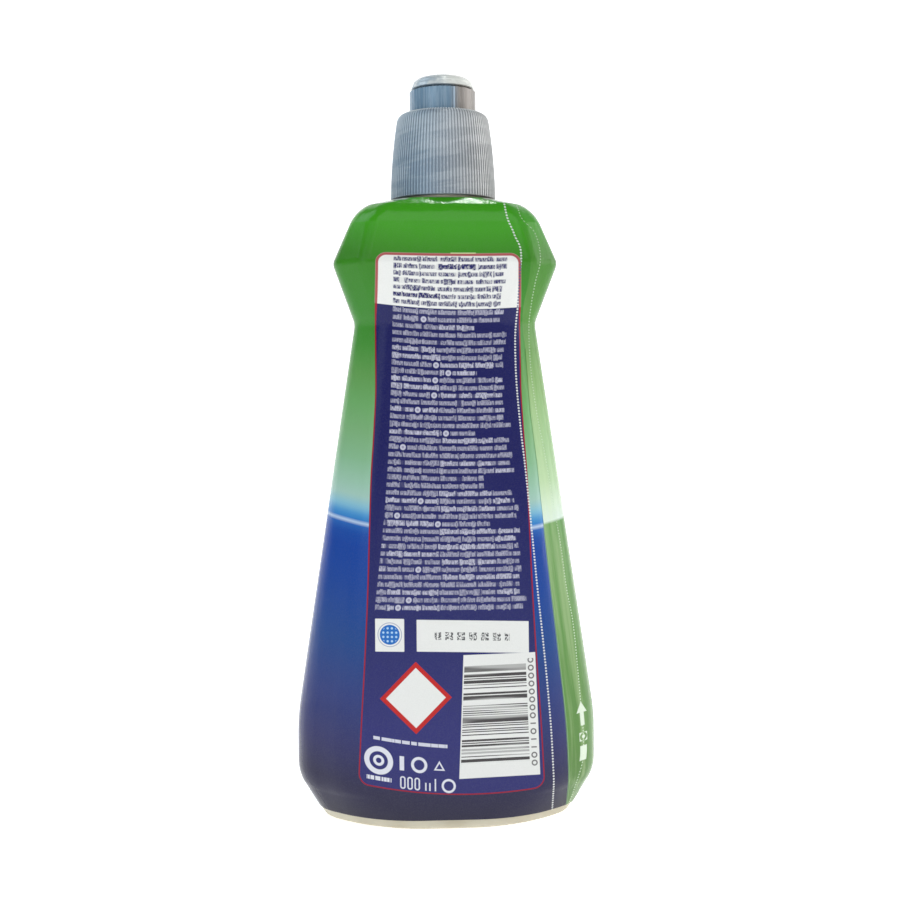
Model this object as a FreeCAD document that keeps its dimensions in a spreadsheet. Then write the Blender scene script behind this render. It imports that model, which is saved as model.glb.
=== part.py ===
import FreeCAD, Part
import math
import os
import Sketcher
from FreeCAD import Vector

# Rinse aid bottle: a flat, waisted blow-moulded bottle with bevelled corners, in a shrink sleeve,
# closed by a ribbed screw cap with a liner and a push-pull nozzle.
# Frame: +Z up, origin on the ground under the middle of the foot. The wide faces look along -Y
# and +Y, and the printed back panel is the one at -Y. Lengths in millimetres, angles in degrees.

# Driving sizes. A level is a cross-section of the bottle: an upright rectangle with bevelled,
# rounded corners. Its rise is measured from the level below, its half width along X and its half
# depth along Y; the corner cut is what the bevel takes off the corner, measured square to it.
# Low down the corners have two radii: side ones next to the narrow sides, face ones next to the
# wide faces. A level with insets keeps the corners of another level and is narrower by them.
SIZES = {
    # Foot, heel and belly: the bottle flares out above its nearly oval foot, rounds over its heel
    # and stays upright from its girth up to its belly.
    "foot_half_width": 37.3,
    "foot_half_depth": 21.6,
    "foot_corner_cut": 11.4,
    "foot_side_radius": 12.0,
    "foot_face_radius": 46.0,
    "flare_rise": 9.6,
    "flare_half_width": 43.0,
    "flare_half_depth": 21.9,
    "flare_corner_cut": 10.2,
    "flare_side_radius": 13.4,
    "flare_face_radius": 23.0,
    "heel_rise": 3.6,
    "heel_width_inset": 0.48,
    "heel_depth_inset": 0.02,
    "girth_rise": 3.8,
    "girth_half_width": 45.1,
    "girth_half_depth": 22.0,
    "girth_corner_cut": 9.7,
    "girth_corner_radius": 14.0,
    "belly_rise": 7.0,
    "bend_rise": 6.0,
    "bend_width_inset": 0.2,
    "bend_depth_inset": 0.05,
    "hip_rise": 6.0,
    "hip_width_inset": 0.9,
    "hip_depth_inset": 0.25,
    # Waist: the narrowest place, at the top of a long straight taper.
    "waist_rise": 112.8,
    "waist_half_width": 27.0,
    "waist_half_depth": 16.7,
    "waist_corner_cut": 5.3,
    "waist_corner_radius": 8.0,
    # Ridge: the sharp widest line of the shoulder.
    "ridge_rise": 17.8,
    "ridge_half_width": 33.45,
    "ridge_half_depth": 19.9,
    "ridge_corner_cut": 5.5,
    "ridge_corner_radius": 6.0,
    # Shoulder: a straight slope up to the brow, a round edge and a nearly flat crown to the root
    # of the neck.
    "brow_rise": 11.9,
    "brow_half_width": 28.2,
    "brow_half_depth": 17.8,
    "brow_corner_cut": 4.0,
    "brow_corner_radius": 6.0,
    "edge_rise": 3.5,
    "edge_width_inset": 2.45,
    "edge_depth_inset": 1.1,
    "crown_rise": 2.0,
    "crown_width_inset": 5.2,
    "crown_depth_inset": 2.4,
    "root_rise": 2.3,
    "root_side_ledge": 1.8,
    "root_face_ledge": 0.4,
    "root_corner_cut": 5.0,
    "root_corner_radius": 11.5,
    # Bevel direction and the blends between the stretches of the bottle.
    "bevel_angle": 50.0,
    "foot_blend": 1.8,
    "waist_blend": 6.0,
    "ridge_blend": 3.0,
    # Blow-moulded wall and the push-up of the base.
    "wall": 0.9,
    "foot_ring": 4.6,
    "pushup_depth": 2.0,
    "pushup_slope": 3.0,
    # Neck and its thread.
    "collar_step": 1.1,
    "collar_rise": 0.5,
    "neck_rise": 16.5,
    "neck_radius": 12.1,
    "neck_wall": 2.1,
    "bore_dip": 1.8,
    "thread_pitch": 4.23,
    "thread_turns": 1.3,
    "thread_start": 4.2,
    "thread_depth": 1.1,
    "thread_base": 2.2,
    "thread_crest": 1.2,
    "thread_bite": 0.4,
    # Shrink sleeve: the film's thickness, its lower edge, how far it stops short of the root, and
    # the margin of the slabs that trim the sleeve and the rinse aid.
    "film": 0.25,
    "sleeve_bottom": 3.0,
    "sleeve_stop": 0.35,
    "slab_margin": 20.0,
    # Rinse aid: its level below the ridge and the gap to the bottle's inside.
    "fill_drop": 2.5,
    "liquid_gap": 0.15,
    # Liner: a foam ring between the top of the neck and the deck of the cap.
    "liner_thickness": 1.2,
    "liner_width": 3.7,
    "seat_gap": 0.05,
    # Cap: skirt, thread, deck and chimney. The skirt's wall is measured at its foot.
    "cap_gap": 0.6,
    "well_depth": 7.2,
    "skirt_wall": 2.35,
    "skirt_taper": 1.9,
    "skirt_curve": 165.0,
    "cap_round": 2.5,
    "round_share": 0.85,
    "rim_lean": 9.0,
    "rib_count": 98,
    "rib_width": 0.5,
    "rib_height": 0.3,
    "rib_wrap": 76.0,
    "cap_thread_gap": 0.15,
    "cap_thread_depth": 1.05,
    "seal_gap": 0.3,
    "deck_thickness": 1.4,
    "chimney_tip": 4.8,
    "chimney_radius": 8.0,
    "chimney_wall": 1.4,
    "bead_height": 0.55,
    "bead_rise": 1.2,
    "post_recess": 1.0,
    "spoke_count": 3,
    "spoke_width": 1.4,
    "spoke_rise": 2.0,
    # Nozzle: a sleeve that slides up the chimney, with a flared head and a round orifice.
    "nozzle_wall": 1.35,
    "nozzle_travel": 5.0,
    "well_clearance": 0.35,
    "lip_clearance": 0.15,
    "bead_clearance": 0.2,
    "foot_clearance": 0.3,
    "lip_rise": 1.6,
    "roof_clearance": 0.5,
    "roof": 0.8,
    "groove_depth": 1.2,
    "groove_rise": 0.5,
    "head_lip": 0.7,
    "head_lip_rise": 0.5,
    "head_side_rise": 0.9,
    "head_taper": 0.3,
    "dome_rise": 2.6,
    "dome_curve": 7.8,
    "head_wall": 1.4,
    "orifice_radius": 2.0,
    "orifice_clearance": 0.15,
    "seam_bearing": -73.3,
    "seam_angle": 2.8,
    "seam_height": 0.2,
}

ORIGIN_POINT = (-1, 1)
# An edge counts as lying at a height within this distance.
LEVEL_TOLERANCE = 0.002


class Size:
    """A length with its formula, so that a number and the expression behind it stay together."""

    def __init__(self, value, text):
        self.value = value
        self.text = text

    def __add__(self, other):
        other = size(other)
        return Size(self.value + other.value, f"({self.text} + {other.text})")

    def __sub__(self, other):
        other = size(other)
        return Size(self.value - other.value, f"({self.text} - {other.text})")

    def __mul__(self, other):
        other = size(other)
        return Size(self.value * other.value, f"{self.text} * {other.text}")

    def __neg__(self):
        return Size(-self.value, f"(0 - {self.text})")


def size(number):
    return number if isinstance(number, Size) else Size(float(number), repr(float(number)))


def named(alias):
    return Size(SIZES[alias], f"Sizes.{alias}")


def cosine(angle):
    return Size(math.cos(math.radians(angle.value)), f"cos({angle.text})")


def sine(angle):
    return Size(math.sin(math.radians(angle.value)), f"sin({angle.text})")


def smaller(one, other):
    return Size(min(one.value, other.value), f"min({one.text}; {other.text})")


doc = FreeCAD.newDocument("rinse_aid_bottle")
sheet = doc.addObject("Spreadsheet::Sheet", "Sizes")
for row, (alias, number) in enumerate(SIZES.items(), start=1):
    sheet.set(f"A{row}", alias)
    sheet.set(f"B{row}", str(number))
    sheet.setAlias(f"B{row}", alias)
doc.recompute()

# Levels, from the ground up, and their heights.
RISING = ["flare", "heel", "girth", "belly", "bend", "hip"]
RISING += ["waist", "ridge", "brow", "edge", "crown", "root"]
HEIGHT = {"foot": size(0)}
below = "foot"
for level in RISING:
    HEIGHT[level] = HEIGHT[below] + named(f"{level}_rise")
    below = level


def own_section(level, side="corner_radius", face="corner_radius"):
    """Half width, half depth, corner cut, side radius and face radius of a level."""
    parts = ["half_width", "half_depth", "corner_cut", side, face]
    return [named(f"{level}_{part}") for part in parts]


def inset_section(level, base):
    """A section with the corners of a base section, narrower by the level's two insets."""
    width, depth = base[:2]
    return [width - named(f"{level}_width_inset"), depth - named(f"{level}_depth_inset"), *base[2:]]


# The belly is upright, so its section is the girth's. The root stands out round the neck's collar.
neck_radius = named("neck_radius")
collar_radius = neck_radius + named("collar_step")
SECTION = {level: own_section(level) for level in ["girth", "waist", "ridge", "brow"]}
for level in ["foot", "flare"]:
    SECTION[level] = own_section(level, "side_radius", "face_radius")
SECTION["belly"] = SECTION["girth"]
for level in ["heel", "bend", "hip"]:
    SECTION[level] = inset_section(level, SECTION["girth"])
SECTION["edge"] = inset_section("edge", SECTION["brow"])
SECTION["crown"] = inset_section("crown", SECTION["brow"])
SECTION["root"] = [
    collar_radius + named("root_side_ledge"),
    collar_radius + named("root_face_ledge"),
    named("root_corner_cut"),
    named("root_corner_radius"),
    named("root_corner_radius"),
]
# Stretches between levels: straight ones are ruled, the bent ones pass smoothly through three.
STRETCHES = [
    ("foot_stretch", ["foot", "flare"], True),
    ("heel_stretch", ["flare", "heel", "girth"], False),
    ("belly_stretch", ["girth", "belly"], True),
    ("hip_stretch", ["belly", "bend", "hip"], False),
    ("flank_stretch", ["hip", "waist"], True),
    ("chest_stretch", ["waist", "ridge"], True),
    ("shoulder_stretch", ["ridge", "brow"], True),
    ("edge_stretch", ["brow", "edge", "crown"], False),
    ("crown_stretch", ["crown", "root"], True),
]
# A skin over the crown is as thick as one over the sides, so these levels also move up with it.
LIFT = {"edge": 0.6, "crown": 1.0, "root": 1.0}


# ---------------------------------------------------------------- sketches

def origin_feature(body, role):
    for feature in body.Origin.OriginFeatures:
        if feature.Role == role:
            return feature
    raise ValueError(role)


def new_sketch(body, name, role, height=None):
    """A sketch on one of the body's own planes, moved along its normal to a bound height."""
    sketch = body.newObject("Sketcher::SketchObject", name)
    sketch.AttachmentSupport = [(origin_feature(body, role), "")]
    sketch.MapMode = "FlatFace"
    if height is not None:
        sketch.AttachmentOffset = FreeCAD.Placement(Vector(0, 0, height.value), FreeCAD.Rotation())
        sketch.setExpression("AttachmentOffset.Base.z", height.text)
    return sketch


def drive(sketch, kind, places, target):
    """Add a sketch constraint whose value follows a formula."""
    index = sketch.addConstraint(Sketcher.Constraint(kind, *places, target.value))
    sketch.setExpression(f"Constraints[{index}]", target.text)


def bevelled_sketch(body, name, level, offset, height):
    """A level's section, grown all round by an offset: eight sides joined by eight tangent arcs."""
    width, depth, cut, side_radius, face_radius = SECTION[level]
    bevel = named("bevel_angle")
    corner = width * cosine(bevel) + depth * sine(bevel) - cut
    side = side_radius + offset
    face = face_radius + offset
    radii = [side, face, face, side] * 2
    normals = [size(0), bevel, size(90), size(180) - bevel]
    normals = normals + [normal - 180 for normal in normals]
    distances = [width + offset, corner + offset, depth + offset, corner + offset] * 2
    sketch = new_sketch(body, name, "XY_Plane", height)

    def direction(index):
        angle = math.radians(normals[index % 8].value)
        return Vector(math.cos(angle), math.sin(angle), 0)

    # Each arc's centre lies one radius inside both of its sides.
    centres = []
    for index, radius in enumerate(radii):
        here = direction(index)
        after = direction(index + 1)
        reach = distances[index].value - radius.value
        reach_after = distances[(index + 1) % 8].value - radius.value
        scale = here.x * after.y - here.y * after.x
        centre_x = (reach * after.y - reach_after * here.y) / scale
        centre_y = (reach_after * here.x - reach * after.x) / scale
        centres.append(Vector(centre_x, centre_y, 0))
    for index, radius in enumerate(radii):
        start = centres[index - 1] + direction(index) * radii[index - 1].value
        end = centres[index] + direction(index) * radius.value
        sketch.addGeometry(Part.LineSegment(start, end))
    for index, radius in enumerate(radii):
        circle = Part.Circle(centres[index], Vector(0, 0, 1), radius.value)
        begin = math.atan2(direction(index).y, direction(index).x)
        turn = (normals[(index + 1) % 8].value - normals[index].value) % 360
        sketch.addGeometry(Part.ArcOfCircle(circle, begin, begin + math.radians(turn)))
    for index in range(8):
        arc = 8 + index
        sketch.addConstraint(Sketcher.Constraint("Tangent", index, 2, arc, 1))
        sketch.addConstraint(Sketcher.Constraint("Tangent", arc, 2, (index + 1) % 8, 1))
    for index in range(8):
        drive(sketch, "Radius", [8 + index], radii[index])
        drive(sketch, "Distance", [*ORIGIN_POINT, index], distances[index])
        heading = normals[index] + 90
        drive(sketch, "Angle", [index], Size(math.radians(heading.value), heading.text))
    return sketch


def outline_sketch(body, name, points):
    """A closed outline on the XZ plane through (radius, height) points.

    A third entry is the radius of the arc that leads to that point, bulging away from the axis.
    """
    sketch = new_sketch(body, name, "XZ_Plane")
    places = [Vector(point[0].value, point[1].value, 0) for point in points]
    for index, point in enumerate(points):
        start = places[index - 1]
        end = places[index]
        if len(point) == 3:
            chord = end - start
            middle = (start + end) * 0.5
            inward = Vector(-chord.y, chord.x, 0).normalize()
            sagitta_leg = math.sqrt(point[2].value ** 2 - (chord.Length / 2) ** 2)
            centre = middle + inward * sagitta_leg
            circle = Part.Circle(centre, Vector(0, 0, 1), point[2].value)
            first = math.atan2(start.y - centre.y, start.x - centre.x)
            last = math.atan2(end.y - centre.y, end.x - centre.x)
            sketch.addGeometry(Part.ArcOfCircle(circle, first, last))
            drive(sketch, "Radius", [index], point[2])
        else:
            sketch.addGeometry(Part.LineSegment(start, end))
    for index, point in enumerate(points):
        following = (index + 1) % len(points)
        sketch.addConstraint(Sketcher.Constraint("Coincident", index, 2, following, 1))
        if point[0].value == 0:
            sketch.addConstraint(Sketcher.Constraint("PointOnObject", index, 2, -2))
        else:
            drive(sketch, "DistanceX", [*ORIGIN_POINT, index, 2], point[0])
        drive(sketch, "DistanceY", [*ORIGIN_POINT, index, 2], point[1])
    return sketch


# ---------------------------------------------------------------- features

def add_loft(body, name, sketches, ruled, kind="AdditiveLoft"):
    loft = body.newObject(f"PartDesign::{kind}", name)
    loft.Profile = sketches[0]
    loft.Sections = sketches[1:]
    loft.Ruled = ruled
    loft.Refine = False
    doc.recompute()
    return loft


def add_turned(body, name, points):
    """A solid turned about Z from an outline."""
    turned = body.newObject("PartDesign::Revolution", name)
    turned.Profile = outline_sketch(body, f"{name}_outline", points)
    turned.ReferenceAxis = (turned.Profile[0], ["V_Axis"])
    turned.Angle = 360
    doc.recompute()
    return turned


def add_thread(body, name, points):
    """A helical thread swept from a flank outline about Z."""
    thread = body.newObject("PartDesign::AdditiveHelix", name)
    thread.Profile = outline_sketch(body, f"{name}_outline", points)
    thread.ReferenceAxis = (thread.Profile[0], ["V_Axis"])
    thread.Mode = 1
    thread.setExpression("Pitch", "Sizes.thread_pitch")
    thread.setExpression("Turns", "Sizes.thread_turns")
    doc.recompute()
    return thread


def add_polar(body, name, original, count):
    """Repeat a feature about Z."""
    pattern = body.newObject("PartDesign::PolarPattern", name)
    pattern.Refine = False
    pattern.Originals = [original]
    pattern.Axis = (origin_feature(body, "Z_Axis"), [""])
    pattern.Angle = 360
    pattern.setExpression("Occurrences", count.text)
    body.Tip = pattern
    doc.recompute()
    return pattern


def edges_at(shape, height):
    """Names of the edges that lie flat at a height."""
    names = []
    for index, edge in enumerate(shape.Edges, start=1):
        box = edge.BoundBox
        if max(box.ZLength, abs(box.ZMin - height.value)) < LEVEL_TOLERANCE:
            names.append(f"Edge{index}")
    return names


def add_blend(body, name, height, radius):
    """Round the edges that lie at a height."""
    base = body.Tip
    blend = body.newObject("PartDesign::Fillet", name)
    blend.Base = (base, edges_at(base.Shape, height))
    blend.setExpression("Radius", radius.text)
    blend.Refine = False
    doc.recompute()
    return blend


def add_form(name, offset):
    """The bottle's outer form, grown by an offset: foot, heel, flanks, chest and shoulder."""
    body = doc.addObject("PartDesign::Body", name)
    sketches = {}
    heights = {}
    for level in HEIGHT:
        heights[level] = HEIGHT[level] + offset * LIFT.get(level, 0)
        if level == "foot":
            heights[level] = -offset
        sketches[level] = bevelled_sketch(body, f"{name}_{level}", level, offset, heights[level])
    for stretch, levels, ruled in STRETCHES:
        add_loft(body, f"{name}_{stretch}", [sketches[level] for level in levels], ruled)
    add_blend(body, f"{name}_ridge_blend", heights["ridge"], named("ridge_blend") + offset)
    add_blend(body, f"{name}_waist_blend", heights["waist"], named("waist_blend") - offset)
    add_blend(body, f"{name}_foot_blend", heights["foot"], named("foot_blend") + offset)
    return body


def add_pushup(body, name, offset):
    """Take the raised middle of the base out of a form."""
    ring = -named("foot_ring") - offset
    low = bevelled_sketch(body, f"{name}_low", "foot", ring, -offset)
    top = named("pushup_depth") - offset
    high = bevelled_sketch(body, f"{name}_high", "foot", ring - named("pushup_slope"), top)
    return add_loft(body, f"{name}_loft", [low, high], True, "SubtractiveLoft")


# ---------------------------------------------------------------- shared heights and radii

root_height = HEIGHT["root"]
neck_top = root_height + named("neck_rise")
neck_bore_radius = neck_radius - named("neck_wall")
thread_radius = neck_radius + named("thread_depth")
thread_wall = thread_radius + named("cap_thread_gap")
neck_thread_height = root_height + named("thread_start")
cap_foot = root_height + named("cap_gap")
liner_foot = neck_top + named("seat_gap")
liner_top = liner_foot + named("liner_thickness")
deck_foot = liner_top + named("seat_gap")
deck_top = deck_foot + named("deck_thickness")
cap_top = deck_top + named("well_depth")
chimney_bore = named("chimney_radius") - named("chimney_wall")
bead_radius = named("chimney_radius") + named("bead_height")
nozzle_foot = deck_top + named("foot_clearance")
lip_top = nozzle_foot + named("lip_rise")
bead_foot = lip_top + named("nozzle_travel")
chimney_top = bead_foot + named("bead_rise") + named("chimney_tip")
nozzle_roof = chimney_top + named("roof_clearance")
nozzle_step = nozzle_roof + named("roof")
groove_height = nozzle_step + named("groove_rise")
head_lip = groove_height + named("head_lip_rise")
head_side_top = head_lip + named("head_side_rise")
nozzle_top = head_side_top + named("dome_rise")
nozzle_bore = bead_radius + named("bead_clearance")
nozzle_radius = nozzle_bore + named("nozzle_wall")
well_radius = nozzle_radius + named("well_clearance")
skirt_foot_radius = thread_wall + named("skirt_wall")
skirt_top_radius = skirt_foot_radius - named("skirt_taper")


def thread_outline(root, crest, middle):
    """A thread's flanks between its root radius and its crest radius, about a middle height."""
    half_base = named("thread_base") * 0.5
    half_crest = named("thread_crest") * 0.5
    return [
        (root, middle - half_base),
        (crest, middle - half_crest),
        (crest, middle + half_crest),
        (root, middle + half_base),
    ]


# ---------------------------------------------------------------- bottle

outside = add_form("bottle_outside", size(0))
add_pushup(outside, "outside_pushup", size(0))
neck_foot = root_height - named("wall")
collar_top = root_height + named("collar_rise")
add_turned(outside, "neck", [
    (size(0), neck_foot),
    (collar_radius, neck_foot),
    (collar_radius, collar_top),
    (neck_radius, collar_top),
    (neck_radius, neck_top),
    (size(0), neck_top),
])
add_thread(outside, "neck_thread", thread_outline(
    neck_radius - named("thread_bite"), thread_radius, neck_thread_height))

inside_offset = -named("wall")
inside = add_form("bottle_inside", inside_offset)
add_pushup(inside, "inside_pushup", inside_offset)
bore_foot = neck_foot - named("bore_dip")
add_turned(inside, "neck_bore", [
    (size(0), bore_foot),
    (neck_bore_radius, bore_foot),
    (neck_bore_radius, neck_top + named("wall")),
    (size(0), neck_top + named("wall")),
])

bottle = doc.addObject("Part::Cut", "bottle")
bottle.Base = outside
bottle.Tool = inside
bottle.Refine = False

# ---------------------------------------------------------------- sleeve

sleeve_form = add_form("sleeve_outside", named("film"))
span = (named("girth_half_width") + named("slab_margin")) * 2


def add_slab(name, foot, top):
    """A block wider than the bottle between two heights."""
    slab = doc.addObject("Part::Box", name)
    slab.setExpression("Length", span.text)
    slab.setExpression("Width", span.text)
    slab.setExpression("Height", (top - foot).text)
    slab.setExpression("Placement.Base.x", (span * -0.5).text)
    slab.setExpression("Placement.Base.y", (span * -0.5).text)
    slab.setExpression("Placement.Base.z", foot.text)
    return slab


sleeve_blank = doc.addObject("Part::Common", "sleeve_blank")
sleeve_blank.Base = sleeve_form
sleeve_blank.Refine = False
sleeve_blank.Tool = add_slab(
    "sleeve_slab", named("sleeve_bottom"), root_height - named("sleeve_stop"))
sleeve = doc.addObject("Part::Cut", "sleeve")
sleeve.Base = sleeve_blank
sleeve.Tool = outside
sleeve.Refine = False

# ---------------------------------------------------------------- rinse aid

liquid_offset = -named("wall") - named("liquid_gap")
liquid_form = add_form("liquid_form", liquid_offset)
add_pushup(liquid_form, "liquid_pushup", liquid_offset)
liquid = doc.addObject("Part::Common", "rinse_aid")
liquid.Base = liquid_form
liquid.Tool = add_slab("liquid_slab", size(0), HEIGHT["ridge"] - named("fill_drop"))
liquid.Refine = False

# ---------------------------------------------------------------- liner

liner = doc.addObject("PartDesign::Body", "liner")
liner_inner_radius = neck_radius - named("liner_width")
add_turned(liner, "liner_ring", [
    (liner_inner_radius, liner_foot),
    (neck_radius, liner_foot),
    (neck_radius, liner_top),
    (liner_inner_radius, liner_top),
])

# ---------------------------------------------------------------- cap

cap = doc.addObject("PartDesign::Body", "cap")
seal_radius = neck_radius + named("seal_gap")
relief_top = neck_top - named("thread_crest")
# The rim's rounding is never more than its share of the rim's own width, and begins where the
# skirt leans in by the rim's lean.
rim_round = smaller(named("cap_round"), (skirt_top_radius - well_radius) * named("round_share"))
rim_middle = (skirt_top_radius - rim_round, cap_top - rim_round)


def rim_point(angle, radius):
    """A point round the middle of the rim's rounding."""
    return (rim_middle[0] + radius * cosine(angle), rim_middle[1] + radius * sine(angle))


add_turned(cap, "cap_shell", [
    (thread_wall, cap_foot),
    (skirt_foot_radius, cap_foot),
    (*rim_point(named("rim_lean"), rim_round), named("skirt_curve")),
    (rim_middle[0], cap_top, rim_round),
    (well_radius, cap_top),
    (well_radius, deck_top),
    (named("chimney_radius"), deck_top),
    (named("chimney_radius"), bead_foot),
    (bead_radius, bead_foot),
    (bead_radius, bead_foot + named("bead_rise") * 0.5),
    (named("chimney_radius"), bead_foot + named("bead_rise")),
    (named("chimney_radius"), chimney_top),
    (chimney_bore, chimney_top),
    (chimney_bore, deck_foot),
    (seal_radius, deck_foot),
    (seal_radius, relief_top),
    (thread_wall, relief_top - named("thread_depth")),
])
post_top = nozzle_top - named("post_recess")
post_radius = named("orifice_radius") - named("orifice_clearance")
spoke_foot = deck_foot + named("seat_gap")
spoke_top = spoke_foot + named("spoke_rise")
spoke = cap.newObject("PartDesign::Pad", "spoke")
spoke.Profile = outline_sketch(cap, "spoke_outline", [
    (size(0), spoke_foot),
    (named("chimney_radius"), spoke_foot),
    (named("chimney_radius"), spoke_top),
    (size(0), spoke_top),
])
spoke.Midplane = True
spoke.setExpression("Length", "Sizes.spoke_width")
doc.recompute()
add_polar(cap, "spokes", spoke, named("spoke_count"))
add_turned(cap, "post", [
    (size(0), spoke_foot),
    (post_radius, spoke_foot),
    (post_radius, post_top),
    (size(0), post_top),
])
add_thread(cap, "cap_thread", thread_outline(
    thread_wall + named("thread_bite"), thread_wall - named("cap_thread_depth"),
    neck_thread_height + named("thread_pitch") * 0.5))

# Each rib is rooted in the skirt and wraps round the rim.
rib_root = thread_wall + named("thread_bite")
rib_round = rim_round + named("rib_height")
rib = cap.newObject("PartDesign::Pad", "rib")
rib.Profile = outline_sketch(cap, "rib_outline", [
    (rib_root, cap_foot),
    (skirt_foot_radius + named("rib_height"), cap_foot),
    (*rim_point(named("rim_lean"), rib_round), named("skirt_curve")),
    (*rim_point(named("rib_wrap"), rib_round), rib_round),
    rim_middle,
    (rim_middle[0], deck_top),
    (rib_root, deck_foot),
])
rib.Midplane = True
rib.Refine = False
rib.setExpression("Length", "Sizes.rib_width")
doc.recompute()
add_polar(cap, "ribs", rib, named("rib_count"))

# ---------------------------------------------------------------- nozzle

nozzle = doc.addObject("PartDesign::Body", "nozzle")
lip_radius = named("chimney_radius") + named("lip_clearance")
groove_radius = nozzle_radius - named("groove_depth")
head_radius = groove_radius + named("head_lip")
head_bore = groove_radius - named("head_wall")
head_ceiling = head_side_top - named("head_wall")
add_turned(nozzle, "nozzle_shell", [
    (lip_radius, nozzle_foot),
    (nozzle_radius, nozzle_foot),
    (nozzle_radius, nozzle_step),
    (groove_radius, groove_height),
    (head_radius, head_lip),
    (head_radius - named("head_taper"), head_side_top),
    (named("orifice_radius"), nozzle_top, named("dome_curve")),
    (named("orifice_radius"), head_ceiling),
    (head_bore, head_ceiling),
    (head_bore, nozzle_roof),
    (nozzle_bore, nozzle_roof),
    (nozzle_bore, lip_top),
    (lip_radius, lip_top),
])
# A moulding seam runs up the nozzle, on its printed side.
seam = nozzle.newObject("PartDesign::Revolution", "seam")
seam.Profile = outline_sketch(nozzle, "seam_outline", [
    (nozzle_bore, lip_top),
    (nozzle_radius + named("seam_height"), lip_top),
    (nozzle_radius + named("seam_height"), nozzle_step),
    (nozzle_bore, nozzle_step),
])
bearing = FreeCAD.Rotation(Vector(0, 1, 0), SIZES["seam_bearing"])
seam.Profile[0].AttachmentOffset = FreeCAD.Placement(Vector(0, 0, 0), bearing)
seam.Profile[0].setExpression("AttachmentOffset.Rotation.Angle", "Sizes.seam_bearing")
seam.ReferenceAxis = (seam.Profile[0], ["V_Axis"])
seam.Midplane = True
seam.setExpression("Angle", "Sizes.seam_angle")

# ---------------------------------------------------------------- check and write

PARTS = {
    "bottle": bottle,
    "sleeve": sleeve,
    "rinse_aid": liquid,
    "liner": liner,
    "cap": cap,
    "nozzle": nozzle,
}
doc.recompute()
for item in doc.Objects:
    if "Invalid" in item.State or "Error" in item.State:
        raise RuntimeError(f"{item.Name} failed to build")
for label, item in PARTS.items():
    item.Label = label
    shape = item.Shape
    if shape.isNull() or not shape.isValid() or len(shape.Solids) != 1:
        raise RuntimeError(f"{label} is not one sound solid")
os.makedirs("parts", exist_ok=True)
for label, item in PARTS.items():
    item.Shape.exportStep(f"parts/{label}.step")
    box = item.Shape.BoundBox
    print(f"{label}: {item.Shape.Volume / 1000:.2f} ml, z {box.ZMin:.2f} to {box.ZMax:.2f}")
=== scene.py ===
import math

import bpy
from mathutils import Matrix, Vector


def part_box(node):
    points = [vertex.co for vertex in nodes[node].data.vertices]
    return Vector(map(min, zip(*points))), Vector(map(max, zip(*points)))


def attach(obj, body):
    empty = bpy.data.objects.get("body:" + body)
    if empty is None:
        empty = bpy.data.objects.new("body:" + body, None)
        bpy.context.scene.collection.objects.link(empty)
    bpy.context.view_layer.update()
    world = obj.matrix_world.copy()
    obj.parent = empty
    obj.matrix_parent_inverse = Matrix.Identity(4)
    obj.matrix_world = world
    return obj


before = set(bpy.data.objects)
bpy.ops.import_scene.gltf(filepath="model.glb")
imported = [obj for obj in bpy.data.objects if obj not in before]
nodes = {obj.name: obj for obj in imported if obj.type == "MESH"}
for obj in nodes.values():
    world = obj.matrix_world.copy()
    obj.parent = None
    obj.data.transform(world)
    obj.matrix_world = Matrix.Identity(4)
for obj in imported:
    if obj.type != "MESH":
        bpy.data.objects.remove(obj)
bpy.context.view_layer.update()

# Rinse aid bottle, dressed: a printed shrink sleeve with its overlap and tear lines, natural
# bottle plastic, a ribbed silver-grey cap, and a push-pull nozzle with a full crown. Mesh
# lengths are in metres. The finishes read Object coordinates in millimetres, and the printed
# panel is on the -Y side.

MM = 0.001

# The greatest height that a curve or a ramp reads, and the greatest result of a curve.
PRINT_REACH = 230.0
CURVE_FULL = 50.0

# How far an edge of the print is blurred, in millimetres.
CRISP = 0.1
SOFT = 0.15

# The cap's skirt, in millimetres, and how it tapers and bulges on its way up.
SKIRT_FOOT_HEIGHT = 186.9
SKIRT_HEIGHT = 23.7
SKIRT_FOOT_RADIUS = 15.7
SKIRT_TAPER = 1.93
SKIRT_BULGE = 1.71
# The middle of its rim's rounding, as (radius, height), and heights measured from there: where
# the rim starts, and the band over which the rim's top is painted pale as a highlight.
RIM_MIDDLE = (11.3, 210.2)
RIM_ROUND = 2.5
RIM_START = 0.39
RIM_HIGHLIGHT = (1.9, 2.4)
# How far a rib stands out, from the groove beside it to its tip, over which the painted groove
# shade fades.
RIB_OUT = (0.02, 0.26)
# The groove under the nozzle's head, painted dark as shade, and the seam under that groove,
# painted pale as a highlight.
GROOVE_HEIGHT = 220.2
GROOVE_HALF = 0.3
SEAM_HIGHLIGHT_OUT = (10.16, 10.26)
SEAM_HIGHLIGHT_DOWN = (0.4, 0.7)


# ------------------------------------------------------------------ finishes

def ink(red, green, blue):
    """A printed colour, given as it is seen from 0 to 255, in the linear light of a shader."""
    linear = []
    for level in (red, green, blue):
        level = level / 255
        linear.append(level / 12.92 if level < 0.04045 else ((level + 0.055) / 1.055) ** 2.4)
    return (*linear, 1.0)


class Field:
    """A number that varies over a surface, with the arithmetic to combine such numbers."""

    def __init__(self, finish, socket):
        self.finish = finish
        self.socket = socket

    def __add__(self, other):
        return self.finish.maths("ADD", self, other)

    def __sub__(self, other):
        return self.finish.maths("SUBTRACT", self, other)

    def __rsub__(self, other):
        return self.finish.maths("SUBTRACT", other, self)

    def __mul__(self, other):
        return self.finish.maths("MULTIPLY", self, other)

    __radd__ = __add__

    def least(self, other):
        return self.finish.maths("MINIMUM", self, other)

    def most(self, other):
        return self.finish.maths("MAXIMUM", self, other)

    def size(self):
        return self.finish.maths("ABSOLUTE", self)

    def root(self):
        return self.finish.maths("SQRT", self)

    def whole(self):
        return self.finish.maths("FLOOR", self)

    def above(self, limit):
        return self.finish.maths("GREATER_THAN", self, limit)


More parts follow.
